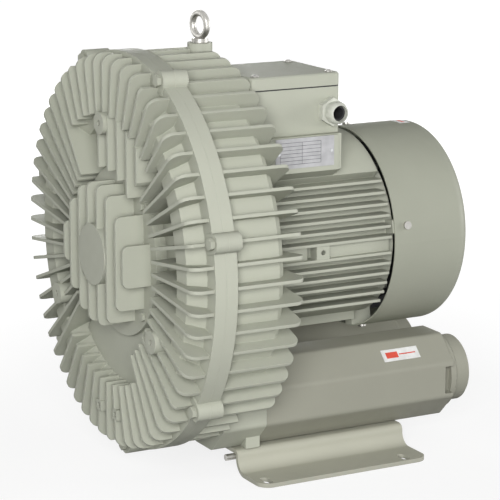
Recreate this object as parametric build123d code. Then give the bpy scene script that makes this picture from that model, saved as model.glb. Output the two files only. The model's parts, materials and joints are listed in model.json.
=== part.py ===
from build123d import *
import os
from math import cos, radians, sin, sqrt

# Side channel blower, flange-mounted motor, two silencers and two foot plates.
#
# Every piece is modelled in the blower's own axes and moved once, at the end.
#   origin  on the shaft axis, in the joint between impeller cover and pump housing
#   +Y      along the shaft, towards the motor and the two ports
#   +X      the terminal box side,  +Z up
# The written frame has its origin on the floor, in the middle of the four foot slots.
# All sizes are in millimetres.

# ------------------------------------------------------------------ overall places
FOOT_HEIGHT = 30.0  # silencer underside above the floor
FOOT_SLOT_SPAN_X = 296.0  # foot slots, side to side
FOOT_SLOT_SPAN_Y = 192.0  # foot slots, front to rear
FOOT_SLOT_FRONT_Y = 100.0  # front pair of slots behind the joint plane

# ------------------------------------------------------------------ side channel
CHANNEL_R = 190.0  # centre circle of the channel
CHANNEL_BORE = 26.0  # radius of the channel's section
CHANNEL_WALL = 5.0
CHANNEL_DEPTH = 56.0  # straight part of the channel, between its two half rings
LAND_CLEARANCE = 2.0  # impeller to casing, along the shaft
RIM_CLEARANCE = 1.0  # vane tips to the outer wall
STRIPPER_ANGLE = 19.0  # the block between outlet and inlet, round the shaft

# ------------------------------------------------------------------ casing fins
FIN_COUNT = 56
FIN_THICKNESS = 4.0
FIN_HEIGHT = 16.0  # outside the channel wall
COVER_FIN_FRONT_Y = -40.0
HOUSING_FIN_REAR_Y = 104.0
FIN_CORNER_R = 13.0
FIN_SHELL_BITE = 2.5  # how deep a fin's foot goes into the shell
# Inner end of the cover fins: start angle, end angle, distance inside the channel's bore.
COVER_FIN_ROOTS = (
    (-58.0, 45.0, 34.0),
    (45.0, 125.0, -2.0),
    (125.0, 228.0, 58.0),
    (228.0, 302.0, 4.0),
)
HOUSING_FIN_ROOT = 14.0

# ------------------------------------------------------------------ joint flanges
FLANGE_WIDTH = 24.0  # outside the channel
FLANGE_THICKNESS = 14.0
LUG_COUNT = 7
LUG_BOLT_OFFSET = 2.0  # bolt circle outside the flange rim
LUG_ROOT = 12.0  # how far a lug reaches into the flange
LUG_R = 11.5
LUG_FRONT_Y = -16.0
LUG_REAR_Y = 16.0
COVER_BOLT_D = 8.0
BOLT_HOLE_CLEARANCE = 0.5  # on the radius
SPOT_FACE_R = 8.5  # room for a bolt head in front of each lug

# ------------------------------------------------------------------ cover centre
COVER_FLOOR_Y = -6.0  # front face of the recess floor
HUB_FACE_Y = -25.0  # end of the front bearing's seat
HUB_RIM_Y = -13.0  # where the bearing cap's flange seats
HUB_SEAT_WALL = 12.0
HUB_R = 102.0
HUB_WEB = 8.0
TROUGH_Y = -15.0
TROUGH_ANGLES = (228.0, 300.0)
GRID_PITCH = 26.0  # parallel cooling fins, side to side
GRID_FIN_THICKNESS = 4.5
BOSS_INSET = 7.5  # circle of the three mounting bosses, inside the channel
BOSS_ANGLES = (90.0, 210.0, 330.0)
BOSS_D = 27.0
BOSS_FRONT_Y = -45.0
BOSS_THREAD_D = 6.8  # core hole for M8
BOSS_THREAD_DEPTHS = (18.0, 20.0, 22.0)  # blind hole of each boss
PAD_X = 23.0  # two cast pads with square holes, below the recess
PAD_DROP = 5.0  # below the channel's centre circle
PAD_SIZE = 13.0
PAD_HOLE = 6.0

# ------------------------------------------------------------------ bearing cap
CAP_SKIRT = 4.7  # cap's wall outside the bearing seat
CAP_FIN_R = 86.0
CAP_FLANGE_THICKNESS = 7.0
CAP_FRONT_Y = -56.5
CAP_BODY_Y = -44.0
CAP_BOSS_R = 37.0
CAP_SEAT_CLEARANCE = 0.3  # cap over the bearing seat, on the radius
CAP_FIN_CORNER = 8.0
CAP_SCREW_COUNT = 4
CAP_SCREW_R = 94.0
CAP_SCREW_D = 6.0
CAP_THREAD_DEPTH = 12.0
CAP_EDGE_FIN = (84.0, 25.0)  # place side to side, half height

# ------------------------------------------------------------------ shaft train
SHAFT_FRONT_Y = -26.0
FRONT_BEARING = (20.0, 45.0, 23.0)  # bore radius, outer radius, width
REAR_BEARING = (17.5, 40.0, 21.0)
BEARING_INNER_LAND = 7.5  # thickness of the inner ring
BEARING_OUTER_LAND = 8.5  # thickness of the outer ring
SHIELD_GAP = 0.3  # shield lip to inner ring
SHIELD_THICKNESS = 1.2
FRONT_BEARING_Y = -24.0
IMPELLER_SEAT_R = 21.0
SEAL_SEAT_R = 25.0
CORE_SEAT_R = 30.0
FAN_SEAT_R = 15.0
SEAL_LIP_GAP = 0.1
KEY_WIDTH = 12.0
KEY_HEIGHT = 8.0
KEY_LENGTH = 40.0
END_BOLT_D = 10.0
END_BOLT_GRIP = 20.0

# ------------------------------------------------------------------ impeller
VANE_COUNT = 42
VANE_THICKNESS = 2.2
IMPELLER_HUB_R = 44.0
IMPELLER_WEB = 10.0
IMPELLER_RIM = 14.0

# ------------------------------------------------------------------ housing rear
HOUSING_WALL = 8.0
SHELL_REAR_Y = 87.0
SHELL_CORNER = 10.0
SPIGOT_R = 118.0
SPIGOT_WALL = 16.0
MOTOR_FACE_Y = 84.0
EYE_BOSS_R = 15.0
EYE_Y = 89.0
EYE_BOSS_RISE = 7.0  # above the fins

# ------------------------------------------------------------------ silencers
SILENCER_GAP = 18.0  # between the two silencers
PORT_RISE = 5.0  # port centres above the channel's lowest centre line
CASING_SIZE = 106.0  # across the flats of the octagon
CASING_WALL = 5.0
CASING_CORNER = 8.0
NECK_REAR_Y = 118.0
CASING_REAR_Y = 385.0
DUCT_R = 24.0  # from the channel into the neck
LINER_BORE_R = 34.0
LINER_CLEARANCE = 0.3
PORT_THREAD_R = 36.1  # core radius of a G 2 1/2 pipe thread
PORT_COLLAR_R = 42.0
PORT_LENGTH = 32.0  # flange and collar
PORT_FLANGE_R = 49.0
PORT_FLANGE_THICKNESS = 9.0
NOTCH_HEIGHT = 35.0
NOTCH_DEPTH = 16.0

# ------------------------------------------------------------------ foot plates
FOOT_SHEET = 5.0
FOOT_FRONT_Y = 87.0
FOOT_REAR_Y = 320.0
FOOT_OUTER_X = 162.0
FOOT_INNER_X = 46.0
FOOT_WEB_X = 100.0
FOOT_SEAT_GAP = 0.3  # foot plate to silencer
FOOT_SEAT_BEND = 5.5  # on the middle of the sheet
FOOT_FLOOR_BEND = 18.0
FOOT_CORNER_R = 16.0
FOOT_ROD_R = 4.0
FOOT_ROD_Y = (75.0, 312.0)
FOOT_SLOT_R = 5.5
FOOT_SLOT_LENGTH = 22.0
PEDESTAL_X = (62.0, 98.0)
PEDESTAL_HEIGHT = 25.0
FOOT_BOLT_D = 8.0
FOOT_BOLT_X = 76.0
FOOT_THREAD_DEPTH = 4.8
FOOT_BOLT_Y = (108.0, 300.0)  # into the housing, into the silencer

# ------------------------------------------------------------------ motor
FRAME_BORE = 88.0
FRAME_R = 108.0
FRAME_FIN_R = 125.0
FRAME_FIN_PITCH = 13.0
FRAME_FIN_FIRST = 9.75
FRAME_FIN_ROWS = 6
FRAME_FIN_THICKNESS = 3.5
FRAME_FIN_START = 10.0  # behind the motor's face
FRAME_REAR_Y = 285.0
FRAME_FLANGE_THICKNESS = 12.0
FRAME_TOP_ANGLES = (43.5, 136.5)  # smooth barrel above the fins
BOX_SEAT_X = (-10.0, 109.0)
BOX_SEAT_Y = (118.0, 222.0)
BOX_SEAT_TOP = 140.0
BOX_SEAT_LOW = 97.0
BOX_ROOT = (90.0, 86.0)  # where the seat's sloping underside meets the barrel
PAD_RISE = 3.0  # nameplate pad on the seat's side
PAD_Y = (121.0, 217.0)
PLATE_Y = (131.0, 210.0)  # nameplate
PLATE_Z = (103.0, 139.0)
PLATE_THICKNESS = 0.8
RIVET_R = 1.8
RIVET_HEAD = 1.2
RIVET_INSET = 4.0
SIDE_BOSS_Y = (181.0, 198.5)
SIDE_HOLE_Y = 190.0
SIDE_NOTCH_Y = 171.5
SIDE_PANEL_DROP = 7.0  # below the fin edges
STATOR_FRONT = 46.0  # core behind the motor's face
STATOR_REAR = 35.0  # core in front of the frame's rear end
STATOR_BORE = 55.0
AIR_GAP = 0.5
WINDING_LENGTH = 24.0
END_SHIELD_THICKNESS = 12.0
ARM_LENGTH = 18.0  # cowl arms behind the end shield
ARM_CLEARANCE = 0.3
END_SHIELD_SPIGOT = 2.0  # rear bearing reaches this far into the frame
WIRE_WAY_X = (10.0, 70.0)  # from the windings up into the terminal box
WIRE_WAY_Y = (140.0, 200.0)
WIRE_WAY_LOW = 60.0
RAIL_X = (-38.0, 38.0)  # flat rail along the underside
RAIL_Z = (-112.0, -70.0)
MOTOR_BOLT_COUNT = 4
MOTOR_BOLT_R = 110.0
MOTOR_BOLT_D = 10.0

# ------------------------------------------------------------------ fan and cowl
COWL_R = 126.7
COWL_SHEET = 1.6
COWL_GAP = 3.8  # behind the frame
COWL_LENGTH = 109.2
COWL_CORNER_R = 16.0
GRILLE_R = 102.0
GRILLE_ROWS = 6  # above and below the middle slot
GRILLE_PITCH = 15.0
GRILLE_GAP = 9.0
GRILLE_BAR = 5.0  # half width of the middle bar
FAN_R = 108.0
FAN_BLADES = 9
FAN_GAP = 33.0  # behind the frame
FAN_LENGTH = 44.0
FAN_SHAFT_END = 6.0  # shaft end inside the fan's rear edge
COWL_SCREW_INSET = 17.2  # behind the cowl's front edge
COWL_SCREW_ANGLES = (10.0, 100.0, 190.0, 280.0)
SHIELD_SCREW_ANGLES = (55.0, 145.0, 235.0, 325.0)
SHIELD_SCREW_D = 6.0

# ------------------------------------------------------------------ terminal box
BOX_X = (-21.0, 100.0)
BOX_Y = (105.0, 226.0)
BOX_HEIGHT = 55.0
BOX_WALL = 4.0
BOX_CORNER_R = 8.0
GASKET = 1.5
LID_HEIGHT = 15.0
LID_SCREW_INSET = 11.0
LID_SCREW_D = 5.0
GLAND_Y = 211.0
GLAND_RISE = 26.0  # above the box's floor
GLAND_BORE_R = 7.0
GLAND_SLEEVE_R = 9.0
GLAND_THREAD_R = 12.5
GLAND_HEX_RIM = 2.5  # hexagon outside the thread, on the radius
GLAND_NUT_RIM = 1.0  # nut outside the thread, on the radius
GLAND_HEX_LENGTH = 9.0
GLAND_NUT_X = 13.0  # nut in front of the box
GLAND_NUT_LENGTH = 12.0
GLAND_END = 20.0  # seal's end in front of the box
BOARD_X = (16.0, 64.0)  # terminal board
BOARD_Y = (126.0, 146.0)
BOARD_HEIGHT = 14.0
STUD_X = (26.0, 40.0, 54.0)
STUD_Y = (131.0, 141.0)
BOX_OPENING_X = (20.0, 60.0)  # wire opening in the box's floor
BOX_OPENING_Y = (150.0, 190.0)
POST_DEPTH = 14.0


# ------------------------------------------------------------------ helpers
def box(x, y, z):
    """Block between the given limits, each a (low, high) pair."""
    block = Box(x[1] - x[0], y[1] - y[0], z[1] - z[0], align=(Align.MIN,) * 3)
    return Pos(x[0], y[0], z[0]) * block


def cylinder_x(r, x0, x1, y, z):
    low = (Align.CENTER, Align.CENTER, Align.MIN)
    return Pos(x0, y, z) * Rot(0, 90, 0) * Cylinder(r, x1 - x0, align=low)


def cylinder_y(r, y0, y1, x=0.0, z=0.0):
    low = (Align.CENTER, Align.CENTER, Align.MIN)
    return Pos(x, y0, z) * Rot(-90, 0, 0) * Cylinder(r, y1 - y0, align=low)


def cylinder_z(r, z0, z1, x, y):
    low = (Align.CENTER, Align.CENTER, Align.MIN)
    return Pos(x, y, z0) * Cylinder(r, z1 - z0, align=low)


def section(r_in, r_out, y0, y1):
    """Rectangle in the half plane of radius (X) and shaft length (Y)."""
    middle = Pos((r_in + r_out) / 2, (y0 + y1) / 2)
    return middle * Rectangle(r_out - r_in, y1 - y0)


def ring(r_in, r_out, y0, y1):
    """Ring about the shaft with a rectangular section."""
    return revolve(section(r_in, r_out, y0, y1), Axis.Y)


def around(shape, angle):
    """Turn a piece about the shaft, from +X towards +Z."""
    return Rot(0, -angle, 0) * shape


def sector(face, start, end):
    """Sweep a section about the shaft from one angle to another."""
    return around(revolve(face, Axis.Y, end - start), end)


def polar(radius, angle):
    """X and Z of a point on a circle about the shaft."""
    return radius * cos(radians(angle)), radius * sin(radians(angle))


def plate(face, thickness):
    """Flat plate on a section, half its thickness to each side."""
    return extrude(face, thickness / 2, both=True)


def hex_screw(d, grip, head=0.65, across=1.6):
    """Hexagon head on +Z of the origin, shank down -Z."""
    low = (Align.CENTER, Align.CENTER, Align.MIN)
    top = extrude(RegularPolygon(d * across / 2, 6, major_radius=False), d * head)
    return top + Pos(0, 0, -grip) * Cylinder(d / 2, grip, align=low)


def facing(shape, x, y, z, direction):
    """Put a piece modelled along +Z at a point, pointing along a direction."""
    return Plane(origin=(x, y, z), z_dir=direction).location * shape


def octagon(size, corner):
    """Rounded octagon in the XZ plane, normal -Y."""
    outline = Rot(0, 0, 22.5) * RegularPolygon(size / 2, 8, major_radius=False)
    return Plane.XZ * fillet(outline.vertices(), corner)


def octagon_tube(size, corner, y0, y1, x):
    return Pos(x, y1, port_z) * extrude(octagon(size, corner), y1 - y0)


# ------------------------------------------------------------------ derived sizes
shell_r = CHANNEL_BORE + CHANNEL_WALL
channel_in = CHANNEL_R - CHANNEL_BORE
channel_out = CHANNEL_R + CHANNEL_BORE
fin_outer_r = channel_out + CHANNEL_WALL + FIN_HEIGHT
flange_r = channel_out + FLANGE_WIDTH
lug_bolt_r = flange_r + LUG_BOLT_OFFSET
boss_r = channel_in - BOSS_INSET
port_z = -(CHANNEL_R - PORT_RISE)
casing_bottom_z = port_z - CASING_SIZE / 2
foot_top_z = casing_bottom_z - FOOT_SEAT_GAP
foot_z = casing_bottom_z - FOOT_HEIGHT
foot_thread_z = (foot_top_z - 1, foot_top_z + FOOT_THREAD_DEPTH)
eye_boss_top = fin_outer_r + EYE_BOSS_RISE
pad_z = -(CHANNEL_R + PAD_DROP)
fin_angles = [i * 360 / FIN_COUNT for i in range(FIN_COUNT)]
lug_angles = [270 + i * 360 / LUG_COUNT for i in range(LUG_COUNT)]
impeller_y = (LAND_CLEARANCE, CHANNEL_DEPTH - LAND_CLEARANCE)
impeller_mid = CHANNEL_DEPTH / 2
housing_face_y = CHANNEL_DEPTH + HOUSING_WALL
front_bearing_rear_y = FRONT_BEARING_Y + FRONT_BEARING[2]
rear_bearing_y = FRAME_REAR_Y - END_SHIELD_SPIGOT
nameplate_x = BOX_SEAT_X[1] + PAD_RISE
frame_fins_y = MOTOR_FACE_Y + FRAME_FIN_START
stator_y = (MOTOR_FACE_Y + STATOR_FRONT, FRAME_REAR_Y - STATOR_REAR)
end_shield_rear_y = FRAME_REAR_Y + END_SHIELD_THICKNESS
cowl_front_y = FRAME_REAR_Y + COWL_GAP
cowl_rear_y = cowl_front_y + COWL_LENGTH
cowl_screw_y = cowl_front_y + COWL_SCREW_INSET
fan_y = (FRAME_REAR_Y + FAN_GAP, FRAME_REAR_Y + FAN_GAP + FAN_LENGTH)
shaft_end_y = fan_y[1] - FAN_SHAFT_END
box_z = (BOX_SEAT_TOP, BOX_SEAT_TOP + BOX_HEIGHT)
gland_z = box_z[0] + GLAND_RISE
port_end_y = CASING_REAR_Y + PORT_LENGTH
port_x = (CASING_SIZE + SILENCER_GAP) / 2
bearing_seat_r = FRONT_BEARING[1] + HUB_SEAT_WALL
cap_bore_r = bearing_seat_r + CAP_SEAT_CLEARANCE
cap_body_r = cap_bore_r + CAP_SKIRT


# ------------------------------------------------------------------ casings
def channel_section(y, r):
    """Eight-sided section of the channel, r from its centre to each flat."""
    return Pos(CHANNEL_R, y) * Rot(0, 0, 22.5) * RegularPolygon(r, 8, major_radius=False)


def half_channel(y, r, side):
    """Half of the channel's section: side -1 is the cover's, +1 the housing's."""
    return channel_section(y, r) & (Pos(CHANNEL_R, y + side * r / 2) * Rectangle(2 * r, r))


def channel_shell(y, side):
    return revolve(half_channel(y, shell_r, side) - half_channel(y, CHANNEL_BORE, side), Axis.Y)


def stripper(y, side):
    half = STRIPPER_ANGLE / 2
    return sector(half_channel(y, CHANNEL_BORE, side), 270 - half, 270 + half)


def fin_face(root_r, y_foot, y_edge):
    """Outline of a casing fin with its outer corner rounded."""
    blank = section(root_r, fin_outer_r, min(y_foot, y_edge), max(y_foot, y_edge))
    outward = 1 if y_edge > y_foot else -1
    corner = blank.vertices().sort_by(lambda v: v.X + outward * v.Y)[-1]
    return fillet(corner, FIN_CORNER_R)


def cover_fin(root):
    face = fin_face(channel_in - root, COVER_FLOOR_Y + FIN_SHELL_BITE, COVER_FIN_FRONT_Y)
    return plate(face - channel_section(0, shell_r - FIN_SHELL_BITE), FIN_THICKNESS)


def cover_fins():
    """One fin for each pitch, with the inner end of its own sector."""
    fins = []
    for start, end, root in COVER_FIN_ROOTS:
        fin = cover_fin(root)
        for angle in fin_angles:
            if start <= angle < end or start <= angle - 360 < end:
                fins.append(around(fin, angle))
    return fins


def lug(y0, y1, r_in):
    """One flange lug with a round end, at angle zero."""
    return cylinder_y(LUG_R, y0, y1, lug_bolt_r) + box((r_in, lug_bolt_r), (y0, y1), (-LUG_R, LUG_R))


def grid_fins():
    """Upright parallel fins between the cap and the radial fins at the top."""
    zone = sector(section(HUB_R + 0.5, channel_in + 4, COVER_FIN_FRONT_Y, COVER_FLOOR_Y + 2), 47, 124)
    fins = []
    for i in (-1, 1, 3, 5, 7):
        x = i * GRID_PITCH / 2
        half = GRID_FIN_THICKNESS / 2
        blank = box((x - half, x + half), (COVER_FIN_FRONT_Y, COVER_FLOOR_Y + 2), (0, CHANNEL_R))
        fins.append(blank & zone)
    return fins


def impeller_cover():
    shoulder_y = front_bearing_rear_y
    body = channel_shell(0, -1)
    body += ring(channel_out, flange_r, -FLANGE_THICKNESS, 0)
    body += ring(HUB_R - HUB_WEB, channel_in, COVER_FLOOR_Y, 0)
    body += ring(HUB_R - HUB_WEB, HUB_R, HUB_RIM_Y, 0)
    body += ring(FRONT_BEARING[1], HUB_R, HUB_RIM_Y, HUB_RIM_Y + HUB_WEB)
    body += ring(FRONT_BEARING[1], bearing_seat_r, HUB_FACE_Y, shoulder_y)
    body += ring(FRONT_BEARING[1] - 6, bearing_seat_r, shoulder_y, shoulder_y + 4)
    body += stripper(0, -1)
    lugs = [around(lug(LUG_FRONT_Y, 0, flange_r - LUG_ROOT), a) for a in lug_angles]
    trough = sector(section(HUB_R, channel_in - 3, TROUGH_Y, COVER_FLOOR_Y + 2), *TROUGH_ANGLES)
    body = body + cover_fins() + lugs + trough + grid_fins()
    void = revolve(channel_section(0, CHANNEL_BORE), Axis.Y)
    bosses = []
    threads = []
    for angle, depth in zip(BOSS_ANGLES, BOSS_THREAD_DEPTHS):
        x, z = polar(boss_r, angle)
        bosses.append(cylinder_y(BOSS_D / 2, BOSS_FRONT_Y, COVER_FLOOR_Y + 2, x, z) - void)
        threads.append(cylinder_y(BOSS_THREAD_D / 2, BOSS_FRONT_Y, BOSS_FRONT_Y + depth, x, z))
    pads = []
    for x in (-PAD_X, PAD_X):
        half = PAD_SIZE / 2
        pads.append(box((x - half, x + half), (COVER_FIN_FRONT_Y, -27), (pad_z - half, pad_z + half)))
        half = PAD_HOLE / 2
        hole_y = (COVER_FIN_FRONT_Y, COVER_FIN_FRONT_Y + 8)
        threads.append(box((x - half, x + half), hole_y, (pad_z - half, pad_z + half)))
    body = body + bosses + pads
    for angle in lug_angles:
        x, z = polar(lug_bolt_r, angle)
        threads.append(cylinder_y(COVER_BOLT_D / 2 + BOLT_HOLE_CLEARANCE, LUG_FRONT_Y, 0, x, z))
        threads.append(cylinder_y(SPOT_FACE_R, COVER_FIN_FRONT_Y, LUG_FRONT_Y, x, z))
    for x, z in cap_screw_places():
        threads.append(cylinder_y(CAP_SCREW_D / 2, HUB_RIM_Y, HUB_RIM_Y + CAP_THREAD_DEPTH, x, z))
    return body - threads


def housing_shell(inset):
    """Outline of the housing's rear half: straight rim wall, corners cut, square to the rear face."""
    wall = CHANNEL_WALL - inset
    outline = section(channel_in - wall, channel_out + wall, CHANNEL_DEPTH, SHELL_REAR_Y - inset)
    return chamfer(outline.vertices().sort_by(Axis.Y)[-2:], SHELL_CORNER)


def housing_fin(rear_y):
    face = fin_face(channel_in - HOUSING_FIN_ROOT, FLANGE_THICKNESS - 2, rear_y)
    core = section(0, channel_out + FIN_SHELL_BITE, 0, CHANNEL_DEPTH)
    core += housing_shell(FIN_SHELL_BITE)
    core += section(0, CHANNEL_R, 0, housing_face_y - 2)
    return plate(face - core, FIN_THICKNESS)


def housing_fins():
    """Full fins all round, except where the two port necks stand."""
    full = housing_fin(HOUSING_FIN_REAR_Y)
    short = plate(section(channel_out + 2, fin_outer_r, FLANGE_THICKNESS - 2, 62), FIN_THICKNESS)
    fins = []
    for angle in fin_angles:
        by_neck = 225 < angle < 315
        fins.append(around(short if by_neck else full, angle))
    return fins


def port_neck(x):
    """Box-like neck behind the channel, open to the silencer."""
    return octagon_tube(CASING_SIZE, CASING_CORNER, CHANNEL_DEPTH + 4, NECK_REAR_Y, x)


def pump_housing():
    body = ring(channel_out, channel_out + CHANNEL_WALL, 0, CHANNEL_DEPTH)
    body += revolve(housing_shell(0), Axis.Y)
    body += ring(channel_out, flange_r, 0, FLANGE_THICKNESS)
    body += ring(SEAL_SEAT_R + 10, channel_in, CHANNEL_DEPTH, housing_face_y)
    body += ring(SPIGOT_R - SPIGOT_WALL, SPIGOT_R, housing_face_y, MOTOR_FACE_Y)
    body += ring(SEAL_SEAT_R + 10, SEAL_SEAT_R + 22, housing_face_y, MOTOR_FACE_Y - 4)
    body += [around(lug(0, LUG_REAR_Y, flange_r - LUG_ROOT), a) for a in lug_angles]
    body += housing_fins()
    body += [port_neck(-port_x), port_neck(port_x)]
    body += cylinder_z(EYE_BOSS_R, channel_out - 4, eye_boss_top, 0, EYE_Y)
    pedestal_y = (99, NECK_REAR_Y)
    for side in (-1, 1):
        x = sorted(side * limit for limit in PEDESTAL_X)
        body += box(x, pedestal_y, (casing_bottom_z, casing_bottom_z + PEDESTAL_HEIGHT))
    cuts = []
    for side in (-1, 1):
        x = side * FOOT_BOLT_X
        cuts.append(cylinder_z(FOOT_BOLT_D / 2, *foot_thread_z, x, FOOT_BOLT_Y[0]))
    for x in (-port_x, port_x):
        inner = CASING_SIZE - 2 * CASING_WALL
        pocket_y = CHANNEL_DEPTH + shell_r + 4
        cuts.append(octagon_tube(inner, CASING_CORNER / 2, pocket_y, NECK_REAR_Y, x))
        cuts.append(cylinder_y(DUCT_R, CHANNEL_DEPTH, pocket_y, x, port_z))
    for angle in lug_angles:
        x, z = polar(lug_bolt_r, angle)
        cuts.append(cylinder_y(COVER_BOLT_D / 2, 0, LUG_REAR_Y, x, z))
    cuts.append(cylinder_z(4, eye_boss_top - 16, eye_boss_top, 0, EYE_Y))
    for i in range(MOTOR_BOLT_COUNT):
        x, z = polar(MOTOR_BOLT_R, 45 + i * 360 / MOTOR_BOLT_COUNT)
        cuts.append(cylinder_y(MOTOR_BOLT_D / 2, MOTOR_FACE_Y - 16, MOTOR_FACE_Y, x, z))
    void = revolve(half_channel(CHANNEL_DEPTH, CHANNEL_BORE, 1), Axis.Y)
    body -= ring(0, channel_out, 0, CHANNEL_DEPTH) + void
    for cut in cuts:
        body -= cut
    return body + stripper(CHANNEL_DEPTH, 1)


def cap_screw_places():
    """Cap screws stand on the diagonals, clear of the upright fins."""
    return [polar(CAP_SCREW_R, 45 + i * 360 / CAP_SCREW_COUNT) for i in range(CAP_SCREW_COUNT)]


def cap_fin(x, reach):
    outline = section(CAP_FRONT_Y + 1, HUB_RIM_Y - 3, -reach, reach)
    outline = fillet(outline.vertices().sort_by(Axis.X)[:2], CAP_FIN_CORNER)
    side_view = Plane(origin=(x, 0, 0), x_dir=(0, 1, 0), z_dir=(1, 0, 0))
    return extrude(side_view * outline, GRID_FIN_THICKNESS / 2, both=True)


def bearing_cap():
    flange_y = HUB_RIM_Y - CAP_FLANGE_THICKNESS
    body = ring(0, cap_body_r, CAP_BODY_Y, HUB_FACE_Y)
    body += ring(cap_bore_r, HUB_R, flange_y, HUB_RIM_Y)
    body += ring(cap_bore_r, cap_body_r, HUB_FACE_Y, HUB_RIM_Y)
    body += ring(0, CAP_BOSS_R, CAP_FRONT_Y, CAP_BODY_Y)
    fins = []
    for i in (-5, -3, -1, 1, 3, 5):
        x = i * GRID_PITCH / 2
        fins.append(cap_fin(x, sqrt(CAP_FIN_R**2 - x**2)))
    fins += [cap_fin(side * CAP_EDGE_FIN[0], CAP_EDGE_FIN[1]) for side in (-1, 1)]
    body += [fin - ring(0, cap_body_r - 1, HUB_FACE_Y - 2, HUB_RIM_Y) for fin in fins]
    body -= ring(0, FRONT_BEARING[1] - 6, CAP_BODY_Y + 6, HUB_FACE_Y)
    for x, z in cap_screw_places():
        body -= cylinder_y(CAP_SCREW_D / 2 + BOLT_HOLE_CLEARANCE, flange_y - 3, HUB_RIM_Y, x, z)
    return body


def cap_screws():
    screws = []
    for x, z in cap_screw_places():
        screw = hex_screw(CAP_SCREW_D, CAP_FLANGE_THICKNESS + CAP_THREAD_DEPTH - 2)
        screws.append(facing(screw, x, HUB_RIM_Y - CAP_FLANGE_THICKNESS, z, (0, -1, 0)))
    return Compound(screws)


def cover_bolts():
    bolts = []
    for angle in lug_angles:
        x, z = polar(lug_bolt_r, angle)
        bolt = hex_screw(COVER_BOLT_D, -LUG_FRONT_Y + FLANGE_THICKNESS - 2)
        bolts.append(facing(bolt, x, LUG_FRONT_Y, z, (0, -1, 0)))
    return Compound(bolts)


# ------------------------------------------------------------------ shaft train
def shaft():
    body = ring(0, FRONT_BEARING[0], SHAFT_FRONT_Y, LAND_CLEARANCE + 3)
    body += ring(0, IMPELLER_SEAT_R, LAND_CLEARANCE + 3, impeller_y[1] + 1)
    body += ring(0, SEAL_SEAT_R, impeller_y[1] + 1, stator_y[0] - 36)
    body += ring(0, CORE_SEAT_R, stator_y[0] - 36, stator_y[1] + 20)
    body += ring(0, REAR_BEARING[0], stator_y[1] + 20, rear_bearing_y + REAR_BEARING[2] + 2)
    body += ring(0, FAN_SEAT_R, rear_bearing_y + REAR_BEARING[2] + 2, shaft_end_y)
    body -= cylinder_y(END_BOLT_D / 2, SHAFT_FRONT_Y, SHAFT_FRONT_Y + END_BOLT_GRIP)
    return chamfer(body.edges().sort_by(Axis.Y)[-1], 1.5) - impeller_key()


def impeller_key():
    y0 = impeller_mid - KEY_LENGTH / 2
    low = IMPELLER_SEAT_R - KEY_HEIGHT / 2
    half = KEY_WIDTH / 2
    return box((-half, half), (y0, y0 + KEY_LENGTH), (low, low + KEY_HEIGHT))


def impeller():
    rim_in = channel_in - IMPELLER_RIM
    y0, y1 = impeller_y
    body = ring(IMPELLER_SEAT_R, IMPELLER_HUB_R, LAND_CLEARANCE + 3, impeller_y[1] + 1)
    body += ring(IMPELLER_HUB_R, rim_in, impeller_mid - IMPELLER_WEB / 2, impeller_mid + IMPELLER_WEB / 2)
    body += ring(rim_in, channel_in, y0, y1)
    tip_r = channel_out - RIM_CLEARANCE
    body += ring(channel_in, tip_r, impeller_mid - 2, impeller_mid + 2)
    vane = plate(section(channel_in - 2, tip_r, y0, y1), VANE_THICKNESS)
    body += [around(vane, i * 360 / VANE_COUNT) for i in range(VANE_COUNT)]
    return body - impeller_key()


def spacer_sleeve():
    outer = FRONT_BEARING[0] + BEARING_INNER_LAND
    return ring(FRONT_BEARING[0], outer, front_bearing_rear_y, LAND_CLEARANCE + 3)


def shaft_end_washer():
    return ring(END_BOLT_D / 2, FRONT_BEARING[0] + 4, SHAFT_FRONT_Y - 4, SHAFT_FRONT_Y)


def shaft_end_bolt():
    bolt = hex_screw(END_BOLT_D, END_BOLT_GRIP + 3, head=0.5)
    return facing(bolt, 0, SHAFT_FRONT_Y - 4, 0, (0, -1, 0))


def inner_ring(bearing, y0):
    return ring(bearing[0], bearing[0] + BEARING_INNER_LAND, y0, y0 + bearing[2])


def outer_ring(bearing, y0):
    """Outer ring with a shield in each face."""
    lip = bearing[0] + BEARING_INNER_LAND + SHIELD_GAP
    wall = bearing[1] - BEARING_OUTER_LAND
    y1 = y0 + bearing[2]
    body = ring(wall, bearing[1], y0, y1)
    body += ring(lip, wall, y0 + 0.5, y0 + 0.5 + SHIELD_THICKNESS)
    return body + ring(lip, wall, y1 - 0.5 - SHIELD_THICKNESS, y1 - 0.5)


def shaft_seal():
    lip = SEAL_SEAT_R + SEAL_LIP_GAP
    outer = SEAL_SEAT_R + 10
    body = ring(outer - 2, outer, CHANNEL_DEPTH + 2, CHANNEL_DEPTH + 12)
    body += ring(lip + 2, outer, CHANNEL_DEPTH + 10, CHANNEL_DEPTH + 12)
    return body + ring(lip, lip + 3, CHANNEL_DEPTH + 4, CHANNEL_DEPTH + 12)


# ------------------------------------------------------------------ motor
def frame_fins():
    """Level cooling fins, one row above and one below the axis for each pitch."""
    fins = []
    half = FRAME_FIN_THICKNESS / 2
    for row in range(FRAME_FIN_ROWS):
        z = FRAME_FIN_FIRST + row * FRAME_FIN_PITCH
        reach = sqrt(FRAME_FIN_R**2 - z**2)
        foot = sqrt(FRAME_R**2 - z**2) - 4
        for side in (-1, 1):
            x = sorted((side * reach, side * foot))
            for level in (-z, z):
                fins.append(box(x, (frame_fins_y, FRAME_REAR_Y), (level - half, level + half)))
    return fins


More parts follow.
